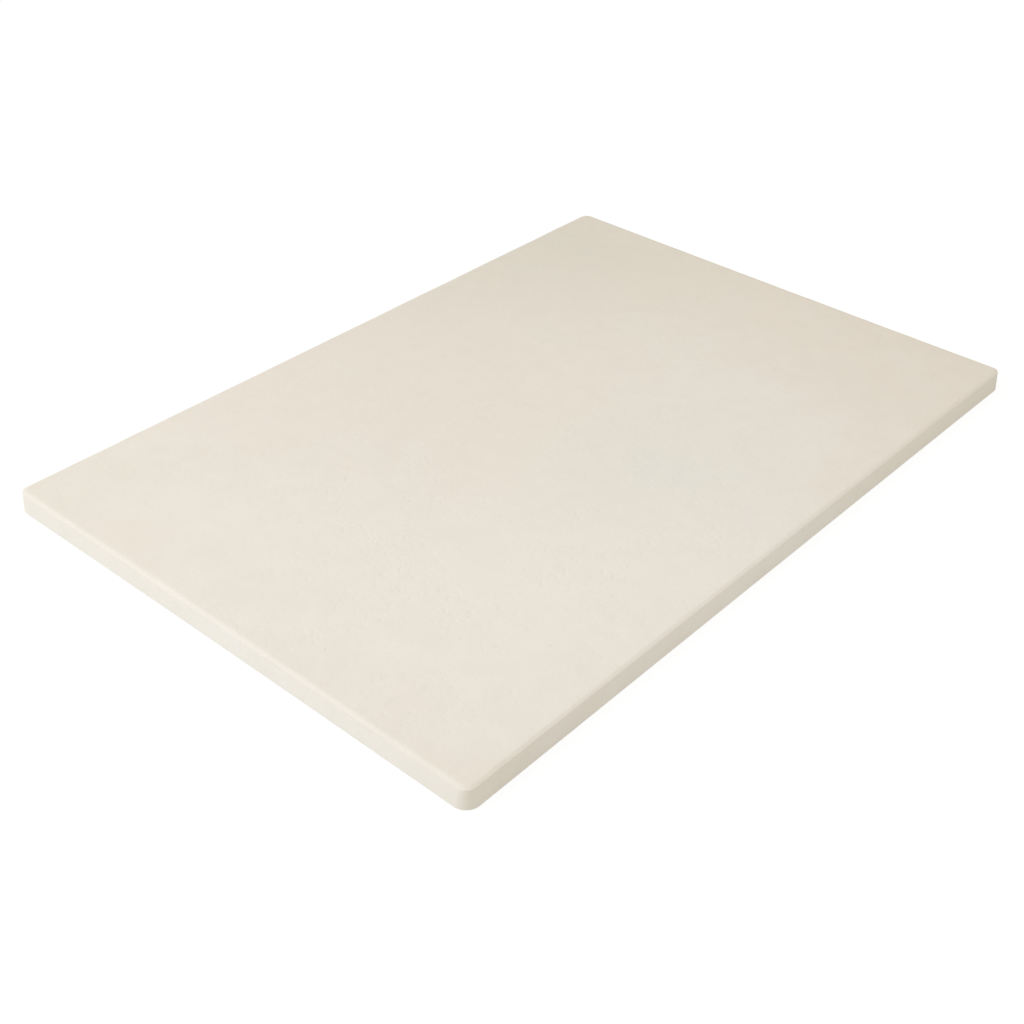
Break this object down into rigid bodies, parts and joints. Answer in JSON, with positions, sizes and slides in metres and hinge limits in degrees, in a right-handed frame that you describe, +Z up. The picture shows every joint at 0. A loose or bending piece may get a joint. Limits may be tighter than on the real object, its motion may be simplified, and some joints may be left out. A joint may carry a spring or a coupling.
{
  "type": "pizza stone",
  "caption": "Flat rectangular baking stone of fired ceramic, with rounded corners, slightly leaning sides and a narrow bevel round the baking face.",
  "frame": {"origin": "centre of the flat underside, on the surface that the stone rests on", "axes": "+X along the length, +Y across the width, +Z up out of the baking face"},
  "size_m": [0.508, 0.35, 0.0134],
  "materials": {
    "fired_ceramic": "unglazed matte, fine open grain"
  },
  "bodies": {
    "root": {"baking_stone": "fired_ceramic"}
  },
  "joints": []
}
